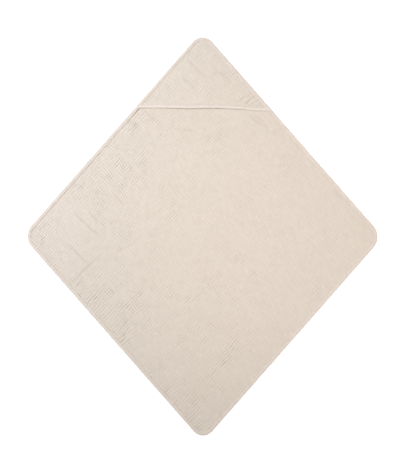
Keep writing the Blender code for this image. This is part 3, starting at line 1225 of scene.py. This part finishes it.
        # painted shadow: the tape's underside takes the whole deeper colour, so a dark line shows under the
        # hood's front edge; painted shade in the stitches' groove and between the gathers, painted light on
        # their tops
        painted_shade = np.clip(upper * (0.35 * groove - 0.15 * gather) + (1 - upper), 0, 1)
        cloth = np.stack((second * self.mouth_length, setback), axis=1)
        return PATTERN.laid(warp, weft, level), cloth, {PAINTED_SHADE: painted_shade}

    def stitch_ends(self, share: Array, side: int) -> Array:
        """Places of the stitches' ends on the hood's tape.

        Args:
            share: their shares of the way along the mouth.
            side: 1 on the tape's top, and -1 under it.

        Returns:
            The places.
        """
        warp, weft = self.mouth_point(share, self.section.stitch_inset + self.waver(share))
        middle = self.middle(*self.mouth_point(share, self.tape_start))
        return PATTERN.laid(warp, weft, middle + side * (self.tape_height / 2 - self.stitch_sink))

    def stitches(self) -> Object:
        """Makes the lock stitches on the hood's tape.

        Returns:
            The stitches, undressed.
        """
        count = round(self.stitched_length / self.stitch)
        stitched = 1 - 2 * self.stitch_margin
        share = self.stitch_margin + (np.arange(count) + 0.5) / count * stitched
        half = STITCH_REACH * stitched / count
        rows = [[self.stitch_ends(share + end, side) for end in (-half, half)] for side in (1, -1)]
        return stitch_row("hood_lock_stitches", rows)

    def build(self) -> list[Object]:
        """Makes the hood's two layers, its tape and its stitches.

        Returns:
            The upper layer, the lining, the tape and the stitches, dressed.
        """
        pieces = []
        layers = (("crinkled_hood", "hood_face", 1, 61), ("crinkled_hood_lining", "hood_lining", -1, 71))
        cut = self.cut_line(1.2 * MM)
        for name, node, side, seed in layers:
            shape = partial(self.layer_shape, side=side, seed=seed)
            layer = grid_piece(name, self.faces, self.faces, shape, cut=cut, flip=side < 0)
            pieces.append(dress(layer, Finish.MUSLIN, node))
        count = self.section.count
        tape = grid_piece("hood_bias_tape", count, self.mouth_steps, self.tape_shape, welded=True)
        pieces.append(dress(tape, Finish.TAPE, "hood_binding"))
        pieces.append(dress(self.stitches(), Finish.THREAD, "hood_stitching"))
        return pieces


@dataclass
class CareLabel:
    """The blank satin label, folded double, in the edge seam under the towel."""

    width: float = 16 * MM
    length: float = 28 * MM
    hidden: float = 1.5 * MM  # length inside the seam
    flat_length: float = 60 * MM
    start: float = 6.5 * MM
    from_corner: float = 0.215
    thickness: float = 0.5 * MM

    def shape(self, first: Array, second: Array) -> Shaped:
        """Bends the grid of the ribbon: out along the floor, round its fold, and back. See grid_piece.

        Args:
            first: each corner's share across the ribbon.
            second: its share along the ribbon.

        Returns:
            The places, the cloth map and no marks.
        """
        radius = self.thickness / 2 - 0.02 * MM
        straight = self.length + self.hidden
        walk = second * (2 * straight + math.pi * radius)
        turn = np.clip((walk - straight) / radius, 0, math.pi)
        back = np.maximum(walk - straight - math.pi * radius, 0)
        inset = self.start + np.minimum(walk, straight) + radius * np.sin(turn) - back
        height = 0.04 * MM + radius * (1 - np.cos(turn))
        weft = PATTERN.half - self.from_corner + (first - 0.5) * self.width
        cloth = np.stack((first * self.width, walk), axis=1)
        return PATTERN.laid(inset - PATTERN.half, weft, height), cloth, {}

    def build(self) -> Object:
        """The label, dressed."""
        label = grid_piece("blank_care_label", 8, 60, self.shape, flip=True)
        return dress(label, Finish.SATIN, "care_label")


# ---------------------------------------------------------------- studio


@dataclass(frozen=True)
class SoftLight:
    """One square soft light."""

    name: str
    place: tuple[float, float, float]
    aim: tuple[float, float, float]
    size: float
    power: float
    shade: str

    def hang(self) -> None:
        """Hangs the light. The camera doesn't see it."""
        lamp = bpy.data.lights.new(self.name, "AREA")
        lamp.shape = "SQUARE"
        lamp.size = self.size
        lamp.energy = self.power
        lamp.color = linear(self.shade)[:3]
        holder = link(bpy.data.objects.new(self.name, lamp))
        holder.location = self.place
        holder.visible_camera = False
        holder.rotation_euler = (Vector(self.aim) - Vector(self.place)).to_track_quat("-Z", "Y").to_euler()


@dataclass
class Studio:
    """A pale floor, soft light and a camera that looks straight down."""

    lens: float = 85.0
    sensor: float = 36.0
    view_height: float = 1.3848
    view_centre: tuple[float, float] = (0.0149, 0.0009)
    far_clip: float = 50.0
    ambient: float = 0.264
    floor_size: float = 6.0
    floor_gap: float = 0.3 * MM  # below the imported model's lowest point
    floor_glow: float = 0.55  # the backdrop glows a little, so that it shows pure white
    lights: Sequence[SoftLight] = (
        SoftLight("window_softbox", (-1.7, 0.9, 1.2), (0, 0.1, 0), 1.0, 38.5, "F0F7FF"),
        SoftLight("top_softbox", (0.4, 0.0, 1.03), (0.4, 0.0, 0), 1.2, 7.2, "FFF9F0"),
    )

    def floor(self) -> None:
        """Lays the floor under the towel."""
        bm = bmesh.new()
        bmesh.ops.create_grid(bm, x_segments=1, y_segments=1, size=self.floor_size)
        bmesh.ops.translate(bm, verts=bm.verts, vec=(0, 0, CAD_LOW.z - self.floor_gap))
        mesh = bpy.data.meshes.new("floor")
        bm.to_mesh(mesh)
        bm.free()
        white = linear("FFFFFF")
        glow = {"Emission_Color": white, "Emission_Strength": self.floor_glow}
        paper = Shading("white_backdrop_paper")
        mesh.materials.append(paper.covered(Base_Color=white, Roughness=1.0, Specular_IOR_Level=0.0, **glow))
        link(bpy.data.objects.new("floor", mesh))

    def camera(self) -> None:
        """Hangs the camera over the towel."""
        data = bpy.data.cameras.new("camera")
        data.lens = self.lens
        data.sensor_width = self.sensor
        data.clip_end = self.far_clip
        camera = link(bpy.data.objects.new("camera", data))
        distance = self.view_height / 2 / (self.sensor / 2 / self.lens)
        camera.location = (*self.view_centre, distance)
        bpy.context.scene.camera = camera

    def build(self) -> None:
        """Sets up the floor, the lights, the world and the camera."""
        self.floor()
        for light in self.lights:
            light.hang()
        world = bpy.data.worlds.new("studio_walls")
        world.use_nodes = True
        background = world.node_tree.nodes["Background"]
        background.inputs["Color"].default_value = linear("FFFFFF")
        background.inputs["Strength"].default_value = self.ambient
        bpy.context.scene.world = world
        bpy.context.scene.view_settings.view_transform = "Standard"
        self.camera()


def main() -> None:
    logging.basicConfig(level=logging.INFO, format="%(name)s: %(message)s")
    hood = Hood()
    care_label = CareLabel()
    face, backing = TowelBody().build()
    tape, stitches = EdgeTape().build()
    upper, lining, _, _ = hood.build()
    label = care_label.build()

    Studio().build()


if __name__ == "__main__":
    main()
